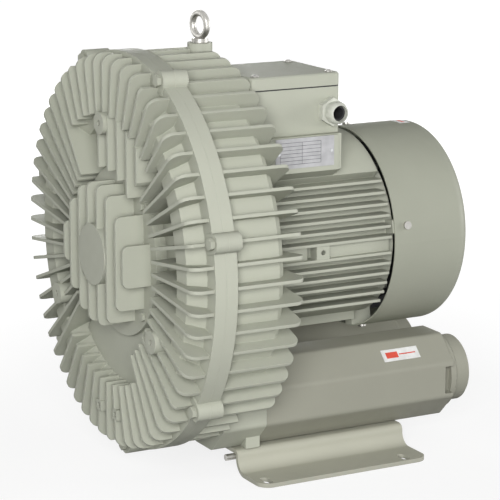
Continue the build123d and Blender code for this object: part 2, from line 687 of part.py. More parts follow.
def box_seat():
    """Block under the terminal box, with the raised nameplate pad on its side."""
    x0, x1 = BOX_SEAT_X
    y0, y1 = BOX_SEAT_Y
    corners = [(x0, BOX_SEAT_TOP), (x1, BOX_SEAT_TOP), (x1, BOX_SEAT_LOW), BOX_ROOT, (x0, BOX_ROOT[1])]
    face = make_face(Polyline(*corners, close=True))
    block = Pos(0, y0, 0) * extrude(Plane.XZ * face, y0 - y1)
    return block + box((x1 - 2, x1 + PAD_RISE), PAD_Y, (BOX_SEAT_LOW, BOX_SEAT_TOP - 1))


def side_panel():
    """Shallow panel between the two middle fins, broken by a notch and a drilled boss."""
    x = (FRAME_R - 3, FRAME_FIN_R - SIDE_PANEL_DROP)
    z = (-FRAME_FIN_FIRST, FRAME_FIN_FIRST)
    panel = box(x, (frame_fins_y, SIDE_NOTCH_Y), z)
    panel += box(x, (SIDE_BOSS_Y[1] - 1, FRAME_REAR_Y), z)
    return panel + box((x[0], FRAME_FIN_R - 1), SIDE_BOSS_Y, z)


def motor_frame():
    bore = ring(0, FRAME_BORE, MOTOR_FACE_Y, FRAME_REAR_Y)
    body = ring(FRAME_BORE, FRAME_R, MOTOR_FACE_Y, FRAME_REAR_Y)
    body += ring(FRAME_BORE, FRAME_FIN_R, MOTOR_FACE_Y, MOTOR_FACE_Y + FRAME_FLANGE_THICKNESS)
    body += frame_fins()
    body += sector(section(FRAME_R - 2, FRAME_FIN_R - 1, frame_fins_y, FRAME_REAR_Y), *FRAME_TOP_ANGLES)
    body += box_seat() - bore
    body += side_panel()
    body += box(RAIL_X, (frame_fins_y, FRAME_REAR_Y), RAIL_Z) - bore
    cuts = [cylinder_x(3, FRAME_FIN_R - 12, FRAME_FIN_R, SIDE_HOLE_Y, 0)]
    cuts.append(box(WIRE_WAY_X, WIRE_WAY_Y, (WIRE_WAY_LOW, BOX_SEAT_TOP)) - bore)
    for i in range(MOTOR_BOLT_COUNT):
        x, z = polar(MOTOR_BOLT_R, 45 + i * 360 / MOTOR_BOLT_COUNT)
        radius = MOTOR_BOLT_D / 2 + BOLT_HOLE_CLEARANCE
        flange_rear = MOTOR_FACE_Y + FRAME_FLANGE_THICKNESS
        cuts.append(cylinder_y(radius, MOTOR_FACE_Y, flange_rear, x, z))
        cuts.append(cylinder_y(MOTOR_BOLT_D, flange_rear, flange_rear + 24, x, z) - bore)
    return body - cuts


def motor_flange_bolts():
    bolts = []
    for i in range(MOTOR_BOLT_COUNT):
        x, z = polar(MOTOR_BOLT_R, 45 + i * 360 / MOTOR_BOLT_COUNT)
        bolt = hex_screw(MOTOR_BOLT_D, FRAME_FLANGE_THICKNESS + 14)
        bolts.append(facing(bolt, x, MOTOR_FACE_Y + FRAME_FLANGE_THICKNESS, z, (0, 1, 0)))
    return Compound(bolts)


def stator_core():
    return ring(STATOR_BORE, FRAME_BORE, *stator_y)


def stator_windings():
    coil = section(STATOR_BORE + 3, FRAME_BORE - 6, 0, WINDING_LENGTH)
    coil = revolve(chamfer(coil.vertices(), 5), Axis.Y)
    front = Pos(0, stator_y[0] - WINDING_LENGTH, 0) * coil
    return Compound([front, Pos(0, stator_y[1], 0) * coil])


def rotor_cage():
    body = ring(CORE_SEAT_R, STATOR_BORE - AIR_GAP, *stator_y)
    for y in (stator_y[0] - 10, stator_y[1]):
        body += ring(CORE_SEAT_R + 8, STATOR_BORE - 3, y, y + 10)
    return body


def rear_end_shield():
    y0, y1 = rear_bearing_y, rear_bearing_y + REAR_BEARING[2]
    body = ring(REAR_BEARING[1], REAR_BEARING[1] + 8, y0, y1)
    body += ring(REAR_BEARING[1], FRAME_R, FRAME_REAR_Y, end_shield_rear_y)
    body += ring(REAR_BEARING[0] + 8, REAR_BEARING[1] + 8, y1, y1 + 3)
    for angle in COWL_SCREW_ANGLES:
        arm_x = (FRAME_R - 4, COWL_R - COWL_SHEET - ARM_CLEARANCE)
        arm = box(arm_x, (FRAME_REAR_Y + 2, end_shield_rear_y + ARM_LENGTH), (-8, 8))
        hole = cylinder_x(2.5, COWL_R - 14, COWL_R, cowl_screw_y, 0)
        body += around(arm - hole, angle)
    for angle in SHIELD_SCREW_ANGLES:
        x, z = polar(FRAME_R - 5, angle)
        body -= cylinder_y(SHIELD_SCREW_D / 2, FRAME_REAR_Y, end_shield_rear_y, x, z)
    return body


def end_shield_screws():
    screws = []
    for angle in SHIELD_SCREW_ANGLES:
        x, z = polar(FRAME_R - 5, angle)
        screw = hex_screw(SHIELD_SCREW_D, end_shield_rear_y - FRAME_REAR_Y - 0.5)
        screws.append(facing(screw, x, end_shield_rear_y, z, (0, 1, 0)))
    return Compound(screws)


def cooling_fan():
    y0, y1 = fan_y
    body = ring(FAN_SEAT_R, FAN_SEAT_R + 9, y0, y1 - 12)
    body += ring(FAN_SEAT_R + 9, FAN_R - 12, y0 + 2, y0 + 5)
    blade = plate(section(FAN_SEAT_R + 7, FAN_R, y0 + 4, y1 - 6), 2.5)
    return body + [around(blade, i * 360 / FAN_BLADES) for i in range(FAN_BLADES)]


def fan_circlip():
    return ring(FAN_SEAT_R, FAN_SEAT_R + 4, fan_y[1] - 12, fan_y[1] - 10.5)


def fan_cowl():
    outer = section(0, COWL_R, cowl_front_y, cowl_rear_y)
    corner = outer.vertices().sort_by(lambda v: v.X + v.Y)[-1]
    outer = fillet(corner, COWL_CORNER_R)
    inner = section(0, COWL_R - COWL_SHEET, cowl_front_y, cowl_rear_y - COWL_SHEET)
    corner = inner.vertices().sort_by(lambda v: v.X + v.Y)[-1]
    inner = fillet(corner, COWL_CORNER_R - COWL_SHEET)
    body = revolve(outer - inner, Axis.Y)
    slots = []
    for row in range(-GRILLE_ROWS, GRILLE_ROWS + 1):
        z = row * GRILLE_PITCH
        reach = sqrt(GRILLE_R**2 - z**2)
        for x in ((-reach, -GRILLE_BAR), (GRILLE_BAR, reach)):
            slot_z = (z - GRILLE_GAP / 2, z + GRILLE_GAP / 2)
            slots.append(box(x, (cowl_rear_y - 4, cowl_rear_y + 1), slot_z))
    for angle in COWL_SCREW_ANGLES:
        slots.append(around(cylinder_x(3, COWL_R - 6, COWL_R + 1, cowl_screw_y, 0), angle))
    return body - slots


def cowl_screws():
    screws = []
    for angle in COWL_SCREW_ANGLES:
        screw = Cylinder(5, 3, align=(Align.CENTER, Align.CENTER, Align.MIN))
        screw += Pos(0, 0, -10) * Cylinder(2.4, 10, align=(Align.CENTER, Align.CENTER, Align.MIN))
        screws.append(around(facing(screw, COWL_R, cowl_screw_y, 0, (1, 0, 0)), angle))
    return Compound(screws)


# ------------------------------------------------------------------ terminal box
def box_outline(inset=0.0):
    x, y = BOX_X, BOX_Y
    size = (x[1] - x[0] - 2 * inset, y[1] - y[0] - 2 * inset)
    return Pos(sum(x) / 2, sum(y) / 2) * RectangleRounded(*size, BOX_CORNER_R - inset / 2)


def lid_screw_places():
    for x in (BOX_X[0] + LID_SCREW_INSET, BOX_X[1] - LID_SCREW_INSET):
        for y in (BOX_Y[0] + LID_SCREW_INSET, BOX_Y[1] - LID_SCREW_INSET):
            yield x, y


def corner_post(x, y, z):
    """Square post in a corner of the box, fused with both walls."""
    sides = []
    for place, limits in ((x, BOX_X), (y, BOX_Y)):
        wall = limits[0] + 2 if place < sum(limits) / 2 else limits[1] - 2
        far = place + 6 if wall < place else place - 6
        sides.append(sorted((wall, far)))
    return box(*sides, z)


def terminal_box_base():
    body = Pos(0, 0, box_z[0]) * extrude(box_outline(), box_z[1] - box_z[0])
    body -= Pos(0, 0, box_z[0] + BOX_WALL) * extrude(box_outline(BOX_WALL), box_z[1])
    for x, y in lid_screw_places():
        post_z = (box_z[1] - POST_DEPTH, box_z[1])
        body += corner_post(x, y, post_z)
        body -= cylinder_z(LID_SCREW_D / 2, *post_z, x, y)
    body -= cylinder_x(GLAND_THREAD_R, BOX_X[1] - BOX_WALL - 1, BOX_X[1], GLAND_Y, gland_z)
    return body - box(BOX_OPENING_X, BOX_OPENING_Y, (box_z[0], box_z[0] + BOX_WALL))


def terminal_box_gasket():
    face = box_outline() - box_outline(BOX_WALL)
    return Pos(0, 0, box_z[1]) * extrude(face, GASKET)


def terminal_box_lid():
    z0 = box_z[1] + GASKET
    body = Pos(0, 0, z0) * extrude(box_outline(), LID_HEIGHT)
    body = chamfer(body.faces().sort_by(Axis.Z)[-1].edges(), 2)
    body -= Pos(0, 0, z0) * extrude(box_outline(BOX_WALL), LID_HEIGHT - BOX_WALL)
    for x, y in lid_screw_places():
        body += corner_post(x, y, (z0, z0 + LID_HEIGHT - 2))
        body -= cylinder_z(LID_SCREW_D / 2 + 0.3, z0, z0 + LID_HEIGHT, x, y)
    return body


def terminal_lid_screws():
    z = box_z[1] + GASKET + LID_HEIGHT
    screws = []
    for x, y in lid_screw_places():
        head = cylinder_z(4.5, z, z + 2.5, x, y)
        screws.append(head + cylinder_z(LID_SCREW_D / 2, z - LID_HEIGHT - 14, z, x, y))
    return Compound(screws)


def terminal_board():
    z = box_z[0] + BOX_WALL
    return box(BOARD_X, BOARD_Y, (z, z + BOARD_HEIGHT))


def terminal_nuts():
    studs = []
    z = box_z[0] + BOX_WALL + BOARD_HEIGHT
    for x in STUD_X:
        for y in STUD_Y:
            studs.append(Pos(x, y, z) * extrude(RegularPolygon(4, 6), 5))
    return Compound(studs)


def cable_gland_body():
    x = BOX_X[1]
    hexagon = extrude(RegularPolygon(GLAND_THREAD_R + GLAND_HEX_RIM, 6, major_radius=False), GLAND_HEX_LENGTH)
    body = facing(hexagon, x, GLAND_Y, gland_z, (1, 0, 0))
    body += cylinder_x(GLAND_THREAD_R, x - BOX_WALL - 1, x + GLAND_NUT_X, GLAND_Y, gland_z)
    return body - cylinder_x(GLAND_SLEEVE_R, x - GLAND_END, x + GLAND_END, GLAND_Y, gland_z)


def cable_gland_seal():
    x = BOX_X[1]
    outer = cylinder_x(GLAND_SLEEVE_R, x - 2, x + GLAND_END, GLAND_Y, gland_z)
    return outer - cylinder_x(GLAND_BORE_R, x - 3, x + GLAND_END + 1, GLAND_Y, gland_z)


def cable_gland_nut():
    x = BOX_X[1] + GLAND_NUT_X
    low = (Align.CENTER, Align.CENTER, Align.MIN)
    nut = Cylinder(GLAND_THREAD_R + GLAND_NUT_RIM, GLAND_NUT_LENGTH, align=low)
    nut = fillet(nut.faces().sort_by(Axis.Z)[-1].edges(), 3.5)
    nut = facing(nut, x, GLAND_Y, gland_z, (1, 0, 0))
    return nut - cylinder_x(GLAND_SLEEVE_R, x - 1, x + GLAND_NUT_LENGTH + 1, GLAND_Y, gland_z)


def nameplate():
    x = (nameplate_x, nameplate_x + PLATE_THICKNESS)
    return box(x, PLATE_Y, PLATE_Z)


def nameplate_rivets():
    x = nameplate_x + PLATE_THICKNESS
    middle = sum(PLATE_Z) / 2
    ends = (PLATE_Y[0] + RIVET_INSET, PLATE_Y[1] - RIVET_INSET)
    return Compound([cylinder_x(RIVET_R, x, x + RIVET_HEAD, y, middle) for y in ends])


# ------------------------------------------------------------------ silencers
def silencer_casing(side):
    x = side * port_x
    body = octagon_tube(CASING_SIZE, CASING_CORNER, NECK_REAR_Y, CASING_REAR_Y, x)
    inner = CASING_SIZE - 2 * CASING_WALL
    body -= octagon_tube(inner, CASING_CORNER / 2, NECK_REAR_Y - 1, CASING_REAR_Y - 14, x)
    body -= cylinder_y(PORT_THREAD_R, CASING_REAR_Y - 20, CASING_REAR_Y + 1, x, port_z)
    body -= cylinder_z(FOOT_BOLT_D / 2, *foot_thread_z, side * FOOT_BOLT_X, FOOT_BOLT_Y[1])
    face_x = sorted((side * (port_x + CASING_SIZE / 2 - 11), side * (port_x + CASING_SIZE / 2 + 1)))
    notch_y = (CASING_REAR_Y - NOTCH_DEPTH + 4, CASING_REAR_Y + 1)
    return body - box(face_x, notch_y, (port_z - NOTCH_HEIGHT / 2, port_z + NOTCH_HEIGHT / 2))


def silencer_liner(side):
    x = side * port_x
    size = CASING_SIZE - 2 * CASING_WALL - 2 * LINER_CLEARANCE
    body = octagon_tube(size, CASING_CORNER / 2, NECK_REAR_Y + 6, CASING_REAR_Y - 14.3, x)
    return body - cylinder_y(LINER_BORE_R, NECK_REAR_Y, CASING_REAR_Y, x, port_z)


def port_flange(side):
    x = side * port_x
    y1 = CASING_REAR_Y + PORT_FLANGE_THICKNESS
    body = cylinder_y(PORT_FLANGE_R, CASING_REAR_Y, y1, x, port_z)
    body += cylinder_y(PORT_COLLAR_R, y1, port_end_y, x, port_z)
    return body - cylinder_y(PORT_THREAD_R, CASING_REAR_Y - 1, port_end_y + 1, x, port_z)


# ------------------------------------------------------------------ feet
def foot_strip():
    """Bent strip seen along Y: seat under the silencer, upright web, wide bend, floor flange."""
    top = foot_top_z - FOOT_SHEET / 2
    floor = foot_z + FOOT_SHEET / 2
    web = FOOT_WEB_X - FOOT_SHEET / 2
    corners = [(FOOT_INNER_X, top), (web, top), (web, floor), (FOOT_OUTER_X, floor)]
    path = FilletPolyline(*corners, radius=[FOOT_SEAT_BEND, FOOT_FLOOR_BEND])
    strip = make_face(offset(path, FOOT_SHEET / 2, kind=Kind.INTERSECTION, side=Side.BOTH).edges())
    return Pos(0, FOOT_FRONT_Y, 0) * extrude(Plane.XZ * strip, FOOT_FRONT_Y - FOOT_REAR_Y)


def foot(side):
    width = FOOT_OUTER_X - FOOT_INNER_X
    middle = Pos((FOOT_INNER_X + FOOT_OUTER_X) / 2, (FOOT_FRONT_Y + FOOT_REAR_Y) / 2, foot_z)
    blank = RectangleRounded(width, FOOT_REAR_Y - FOOT_FRONT_Y, FOOT_CORNER_R)
    square = box((FOOT_INNER_X, FOOT_WEB_X), (FOOT_FRONT_Y, FOOT_REAR_Y), (foot_z, foot_top_z))
    strip = foot_strip() & (middle * extrude(blank, FOOT_HEIGHT) + square)
    cuts = []
    for y in (FOOT_SLOT_FRONT_Y, FOOT_SLOT_FRONT_Y + FOOT_SLOT_SPAN_Y):
        slot = SlotOverall(FOOT_SLOT_LENGTH, 2 * FOOT_SLOT_R)
        cuts.append(Pos(FOOT_SLOT_SPAN_X / 2, y, foot_z - 1) * extrude(slot, FOOT_SHEET + 2))
    for y in FOOT_BOLT_Y:
        radius = FOOT_BOLT_D / 2 + BOLT_HOLE_CLEARANCE
        cuts.append(cylinder_z(radius, foot_top_z - 8, foot_top_z + 1, FOOT_BOLT_X, y))
    strip -= cuts
    return strip if side > 0 else mirror(strip, Plane.YZ)


def foot_rods():
    """Round bar lying in each foot's upper corner; its front end stands out."""
    z = foot_top_z - FOOT_SHEET - FOOT_ROD_R
    x = FOOT_WEB_X - FOOT_SHEET - FOOT_ROD_R - FOOT_SEAT_GAP
    return Compound([cylinder_y(FOOT_ROD_R, *FOOT_ROD_Y, side * x, z) for side in (-1, 1)])


def foot_bolts():
    bolts = []
    for x in (-FOOT_BOLT_X, FOOT_BOLT_X):
        for y in FOOT_BOLT_Y:
            bolt = hex_screw(FOOT_BOLT_D, FOOT_SHEET + 4.5, head=0.6)
            bolts.append(facing(bolt, x, y, foot_top_z - FOOT_SHEET, (0, 0, -1)))
    return Compound(bolts)


def eye_bolt():
    low = (Align.CENTER, Align.CENTER, Align.MIN)
    body = Pos(0, 0, -15) * Cylinder(4, 15, align=low) + Cylinder(10, 5, align=low)
    ring_z = 5 + 18 - 2
    eye = Pos(0, 0, ring_z) * Rot(90, 0, 0) * Torus(14, 4)
    return Pos(0, EYE_Y, eye_boss_top) * Rot(0, 0, 10) * (body + eye)


# ------------------------------------------------------------------ assembly
nodes = {
    "impeller_cover": impeller_cover(),
    "bearing_cap": bearing_cap(),
    "cap_screws": cap_screws(),
    "cover_bolts": cover_bolts(),
    "pump_housing": pump_housing(),
    "impeller": impeller(),
    "shaft": shaft(),
    "impeller_key": impeller_key(),
    "spacer_sleeve": spacer_sleeve(),
    "shaft_end_washer": shaft_end_washer(),
    "shaft_end_bolt": shaft_end_bolt(),
    "front_bearing_outer": outer_ring(FRONT_BEARING, FRONT_BEARING_Y),
    "front_bearing_inner": inner_ring(FRONT_BEARING, FRONT_BEARING_Y),
    "rear_bearing_outer": outer_ring(REAR_BEARING, rear_bearing_y),
    "rear_bearing_inner": inner_ring(REAR_BEARING, rear_bearing_y),
    "shaft_seal": shaft_seal(),
    "motor_frame": motor_frame(),
    "motor_flange_bolts": motor_flange_bolts(),
    "stator_core": stator_core(),
    "stator_windings": stator_windings(),
    "rotor_cage": rotor_cage(),
    "rear_end_shield": rear_end_shield(),
    "end_shield_screws": end_shield_screws(),
    "cooling_fan": cooling_fan(),
    "fan_circlip": fan_circlip(),
    "fan_cowl": fan_cowl(),
    "cowl_screws": cowl_screws(),
    "terminal_box_base": terminal_box_base(),
    "terminal_box_gasket": terminal_box_gasket(),
    "terminal_box_lid": terminal_box_lid(),
    "terminal_lid_screws": terminal_lid_screws(),
    "terminal_board": terminal_board(),
    "terminal_nuts": terminal_nuts(),
    "cable_gland_body": cable_gland_body(),
    "cable_gland_seal": cable_gland_seal(),
    "cable_gland_nut": cable_gland_nut(),
    "nameplate": nameplate(),
    "nameplate_rivets": nameplate_rivets(),
    "near_silencer_casing": silencer_casing(1),
    "far_silencer_casing": silencer_casing(-1),
    "near_silencer_liner": silencer_liner(1),
    "far_silencer_liner": silencer_liner(-1),
    "near_port_flange": port_flange(1),
    "far_port_flange": port_flange(-1),
    "near_foot": foot(1),
    "far_foot": foot(-1),
    "foot_rods": foot_rods(),
    "foot_bolts": foot_bolts(),
    "eye_bolt": eye_bolt(),
}

os.makedirs("parts", exist_ok=True)
slot_centre_y = FOOT_SLOT_FRONT_Y + FOOT_SLOT_SPAN_Y / 2
to_frame = Pos(0, -slot_centre_y, -foot_z)
for name, shape in nodes.items():
    export_step(to_frame * shape, f"parts/{name}.step")
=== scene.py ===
import json
import math
import bmesh
import bpy
from mathutils import Matrix, Vector


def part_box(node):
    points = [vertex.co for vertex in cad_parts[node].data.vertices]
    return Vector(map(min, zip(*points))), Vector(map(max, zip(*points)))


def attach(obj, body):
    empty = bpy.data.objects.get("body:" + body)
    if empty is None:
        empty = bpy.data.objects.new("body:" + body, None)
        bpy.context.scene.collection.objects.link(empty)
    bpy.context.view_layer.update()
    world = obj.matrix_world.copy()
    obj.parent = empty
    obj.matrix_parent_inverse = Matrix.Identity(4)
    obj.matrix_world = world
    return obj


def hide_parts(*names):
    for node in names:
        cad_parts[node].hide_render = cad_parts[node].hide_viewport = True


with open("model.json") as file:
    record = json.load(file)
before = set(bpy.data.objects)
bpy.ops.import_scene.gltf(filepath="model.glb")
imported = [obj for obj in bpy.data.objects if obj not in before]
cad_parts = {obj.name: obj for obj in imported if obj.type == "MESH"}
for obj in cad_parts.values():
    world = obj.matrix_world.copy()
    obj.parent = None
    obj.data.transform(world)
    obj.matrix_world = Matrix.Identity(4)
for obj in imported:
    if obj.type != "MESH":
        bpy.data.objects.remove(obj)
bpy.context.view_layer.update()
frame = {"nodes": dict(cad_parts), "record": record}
scene = bpy.context.scene

# The frame's origin is on the floor in the middle of the foot slots: +Y towards the
# ports, +X the terminal box side, +Z up, in metres.

# ---------------------------------------------------------------- colours (linear)
CASTING = (0.462, 0.475, 0.396)
SHEET = (0.366, 0.377, 0.308)
SILENCER = (0.330, 0.328, 0.271)
PLATE = (0.450, 0.448, 0.372)

FINE_EDGE = 0.0004  # rounding of bare metal's and plastic's edges
FILM = 0.0001  # thickness of a printed mark


# ---------------------------------------------------------------- node helpers
class Tree:
    """Short names for building one material's nodes."""

    def __init__(self, name):
        self.material = bpy.data.materials.new(name)
        self.material.use_nodes = True
        self.nodes = self.material.node_tree.nodes
        self.links = self.material.node_tree.links
        self.shader = self.nodes["Principled BSDF"]
        self.place = self.add("ShaderNodeTexCoord").outputs["Object"]

    def add(self, kind, **values):
        node = self.nodes.new(kind)
        for key, value in values.items():
            if hasattr(node, key):
                setattr(node, key, value)
            else:
                node.inputs[key.replace("_", " ")].default_value = value
        return node

    def link(self, source, target):
        self.links.new(source, target)

    def noise(self, size, detail=3.0, rough=0.5):
        """Noise whose main lumps are about size metres across."""
        node = self.add("ShaderNodeTexNoise", Scale=1.0 / size, Detail=detail, Roughness=rough)
        self.link(self.place, node.inputs["Vector"])
        return node.outputs["Fac"]

    def span(self, source, low, high, out_low=0.0, out_high=1.0):
        """Stretch a value's low to high onto another range, clamped at both ends."""
        node = self.add("ShaderNodeMapRange")
        limits = {"From Min": low, "From Max": high, "To Min": out_low, "To Max": out_high}
        for key, value in limits.items():
            node.inputs[key].default_value = value
        self.link(source, node.inputs["Value"])
        return node.outputs["Result"]

    def math(self, operation, a, b):
        node = self.add("ShaderNodeMath", operation=operation)
        for index, value in enumerate((a, b)):
            if hasattr(value, "is_linked"):
                self.link(value, node.inputs[index])
            else:
                node.inputs[index].default_value = value
        return node.outputs["Value"]

    def mix(self, factor, a, b, blend="MIX"):
        node = self.add("ShaderNodeMix", data_type="RGBA", blend_type=blend)
        sockets = [s for s in node.inputs if s.enabled]
        for socket, value in zip(sockets, (factor, a, b)):
            if hasattr(value, "is_linked"):
                self.link(value, socket)
            elif socket.type == "RGBA":
                socket.default_value = (*value, 1.0)
            else:
                socket.default_value = value
        return [s for s in node.outputs if s.enabled][0]

    def bump(self, height, distance, strength=1.0, normal=None):
        node = self.add("ShaderNodeBump", Distance=distance, Strength=strength)
        self.link(height, node.inputs["Height"])
        if normal is not None:
            self.link(normal, node.inputs["Normal"])
        return node.outputs["Normal"]

    def rounded(self, radius):
        """Normals of edges rounded to a radius, as a casting's or a sheet's are."""
        return self.add("ShaderNodeBevel", samples=4, Radius=radius).outputs["Normal"]

    def edges(self, rounded):
        """1 along edges, where the rounded normal leaves the face's own, and 0 on flats."""
        flat = self.add("ShaderNodeNewGeometry").outputs["Normal"]
        across = self.add("ShaderNodeVectorMath", operation="DOT_PRODUCT")
        self.link(flat, across.inputs[0])
        self.link(rounded, across.inputs[1])
        return self.span(across.outputs["Value"], 0.99, 0.90)

    def hollows(self, distance):
        """1 on open faces, towards 0 in gaps and corners."""
        return self.add("ShaderNodeAmbientOcclusion", samples=6, Distance=distance).outputs["AO"]


def shade(colour, factor):
    return tuple(factor * channel for channel in colour)


def painted(name, paint, grain, grain_depth, edge_radius, gap_shade=0.4, gap=0.012):
    """Satin machine enamel: orange peel, painted shade in the gaps, and paler edges that are
    partly rubbed paint and partly a painted highlight.
    """
    tree = Tree(name)
    open_face = tree.span(tree.hollows(gap), 0.15, 0.85)
    clouds = tree.span(tree.noise(0.09, 4.0), 0.3, 0.7)
    tone = tree.mix(clouds, shade(paint, 0.97), shade(paint, 1.03))
    # Painted shade: in gaps and corners found by ambient occlusion, the paint is darkened towards
    # half its colour.
    gap_shade_amount = tree.math("MULTIPLY", tree.math("SUBTRACT", 1.0, open_face), gap_shade)
    gap_shaded = tree.mix(gap_shade_amount, tone, shade(paint, 0.5))
    specks = tree.span(tree.noise(0.0022, 2.0), 0.66, 0.72)
    speckled = tree.mix(tree.math("MULTIPLY", specks, 0.10), gap_shaded, shade(paint, 1.25))
    rounded = tree.rounded(edge_radius)
    patchy = tree.span(tree.noise(0.018, 4.0), 0.35, 0.65, 0.25, 0.8)
    # Painted highlight and rubbed paint: the edges are paler in patches, towards 1.22 times the
    # paint's colour.
    edge_highlight_and_wear = tree.math("MULTIPLY", tree.edges(rounded), patchy)
    colour = tree.mix(edge_highlight_and_wear, speckled, shade(paint, 1.22))
    tree.link(colour, tree.shader.inputs["Base Color"])
    rough = tree.span(tree.noise(0.012, 3.0), 0.3, 0.7, 0.48, 0.62)
    tree.link(rough, tree.shader.inputs["Roughness"])
    skin = tree.bump(tree.noise(grain, 3.0, 0.6), grain_depth, normal=rounded)
    tree.link(skin, tree.shader.inputs["Normal"])
    facing = tree.add("ShaderNodeLayerWeight").outputs["Facing"]
    gloss = tree.span(facing, 0.35, 0.75, 0.28, 0.02)
    tree.link(gloss, tree.shader.inputs["Specular IOR Level"])
    return tree.material


def metal(name, colour, rough, grain=0.0006, depth=0.00003):
    """Bare or plated metal: fine grain, duller and darker where it is worn."""
    tree = Tree(name)
    worn = tree.span(tree.noise(0.006, 4.0), 0.35, 0.65)
    tone = tree.mix(worn, colour, shade(colour, 0.78))
    tree.link(tone, tree.shader.inputs["Base Color"])
    tree.shader.inputs["Metallic"].default_value = 1.0
    tree.link(tree.span(worn, 0.0, 1.0, rough, rough + 0.14), tree.shader.inputs["Roughness"])
    skin = tree.bump(tree.noise(grain), depth, normal=tree.rounded(FINE_EDGE))
    tree.link(skin, tree.shader.inputs["Normal"])
    return tree.material


def dull(name, colour, rough, grain=0.0008, depth=0.00006):
    """Rubber, moulded plastic, foam and label film."""
    tree = Tree(name)
    tone = tree.mix(tree.span(tree.noise(0.01), 0.3, 0.7), colour, shade(colour, 1.25))
    tree.link(tone, tree.shader.inputs["Base Color"])
    tree.shader.inputs["Roughness"].default_value = rough
    skin = tree.bump(tree.noise(grain), depth, normal=tree.rounded(FINE_EDGE))
    tree.link(skin, tree.shader.inputs["Normal"])
    return tree.material


# In each enamel, the number after the edge radius sets the strength of its painted shade in gaps;
# the casting's last number sets how far that shade reaches.
MATERIALS = {
    "casting_paint": painted("casting_enamel", CASTING, 0.0016, 0.00022, 0.0011, 0.5, 0.016),
    "cowl_paint": painted("sheet_enamel", SHEET, 0.0011, 0.00005, 0.0006, 0.3),
    "collar_paint": painted("plate_enamel", PLATE, 0.0012, 0.00008, 0.0008, 0.3),
    "silencer_paint": painted("silencer_enamel", SILENCER, 0.0014, 0.00012, 0.0009, 0.3),
    "zinc_steel": metal("zinc_plated_steel", (0.50, 0.49, 0.46), 0.34),
    "machined_steel": metal("ground_steel", (0.46, 0.46, 0.47), 0.22),
    "rubber": dull("black_rubber", (0.020, 0.020, 0.021), 0.72),
    "bare_aluminium": metal("bare_aluminium", (0.68, 0.69, 0.70), 0.36),
    "core_steel": metal("core_laminations", (0.20, 0.20, 0.21), 0.45),
    "copper": metal("varnished_copper", (0.42, 0.15, 0.06), 0.38),
    "fan_plastic": dull("fan_polyamide", (0.028, 0.028, 0.030), 0.5),
    "black_plastic": dull("black_polyamide", (0.016, 0.016, 0.017), 0.42),
    "brass": metal("turned_brass", (0.60, 0.42, 0.16), 0.28),
    "foam": dull("silencer_foam", (0.035, 0.035, 0.037), 0.95, 0.002, 0.0006),
    "gland_plastic": dull("grey_polyamide", (0.52, 0.53, 0.47), 0.42, 0.0012, 0.00004),
    "label_white": dull("label_film", (0.70, 0.70, 0.69), 0.45, 0.0020, 0.00002),
    "plate_film": dull("plate_film", (0.42, 0.42, 0.43), 0.38, 0.0020, 0.00002),
    "label_red": dull("red_print", (0.62, 0.075, 0.045), 0.45, 0.0020, 0.00001),
    # Dark film for the nameplate's printed rules, and painted shade in the lid screws' slots.
    "ink_and_slot_shade": dull("dark_print_and_slot_shade", (0.060, 0.062, 0.075), 0.5, 0.0020, 0.00001),
}

# Nodes whose finish isn't the one their part is made in.
PAINTED_OVER = {
    "cap_screws": "casting_paint",
    "cover_bolts": "casting_paint",
    "near_silencer_casing": "silencer_paint",
    "far_silencer_casing": "silencer_paint",
    "near_port_flange": "silencer_paint",
    "far_port_flange": "silencer_paint",
    "cable_gland_body": "gland_plastic",
    "cable_gland_nut": "gland_plastic",
    "nameplate": "plate_film",
}


def dress_nodes():
    slots = {part["node"]: part["material_slot"] for part in frame["record"]["subparts"]}
    slots.update(PAINTED_OVER)
    for name, node in frame["nodes"].items():
        node.data.materials.clear()
        node.data.materials.append(MATERIALS[slots[name]])


# ---------------------------------------------------------------- pieces
def finish_piece(name, mesh, material, body="casing", smooth=True):
    mesh.materials.append(MATERIALS[material])
    for face in mesh.polygons:
        face.use_smooth = smooth
    piece = bpy.data.objects.new(name, mesh)
    scene.collection.objects.link(piece)
    if smooth:
        mesh.set_sharp_from_angle(angle=math.radians(35))
    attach(piece, body)
    return piece


def lathe(name, profile, start, axis, material, steps=64, body="casing"):
    """Turned piece: profile is (distance along the axis, radius) pairs, closed into a ring."""
    along = Vector(axis).normalized()
    side = along.orthogonal().normalized()
    other = along.cross(side)
    work = bmesh.new()
    rings = []
    for i in range(steps):
        turn = 2 * math.pi * i / steps
        out = side * math.cos(turn) + other * math.sin(turn)
        rings.append([work.verts.new(Vector(start) + along * a + out * r) for a, r in profile])
    count = len(profile)
    for i in range(steps):
        here, there = rings[i], rings[(i + 1) % steps]
        for j in range(count):
            k = (j + 1) % count
            work.faces.new((here[j], here[k], there[k], there[j]))
    bmesh.ops.recalc_face_normals(work, faces=work.faces)
    mesh = bpy.data.meshes.new(name)
    work.to_mesh(mesh)
    work.free()
    return finish_piece(name, mesh, material, body)


def slabs(name, centre, axes, blocks, material, thickness):
    """Thin chamfered blocks on a flat: blocks are (along, up, half length, half height)."""
    along, up = (Vector(a).normalized() for a in axes)
    out = along.cross(up)
    work = bmesh.new()
    for a, u, half_a, half_u in blocks:
        middle = Vector(centre) + along * a + up * u
        lift = (0.0, thickness)
        inset = min(thickness, half_u / 3)
        corners = []
        for height, shrink in zip(lift, (0.0, inset)):
            ring = []
            for sa, su in ((-1, -1), (1, -1), (1, 1), (-1, 1)):
                flat = along * sa * (half_a - shrink) + up * su * (half_u - shrink)
                ring.append(work.verts.new(middle + flat + out * height))
            corners.append(ring)
        low, high = corners
        work.faces.new(high)
        work.faces.new(low[::-1])
        for i in range(4):
            j = (i + 1) % 4
            work.faces.new((low[i], low[j], high[j], high[i]))
    bmesh.ops.recalc_face_normals(work, faces=work.faces)
    mesh = bpy.data.meshes.new(name)
    work.to_mesh(mesh)
    work.free()
    return finish_piece(name, mesh, material, smooth=False)


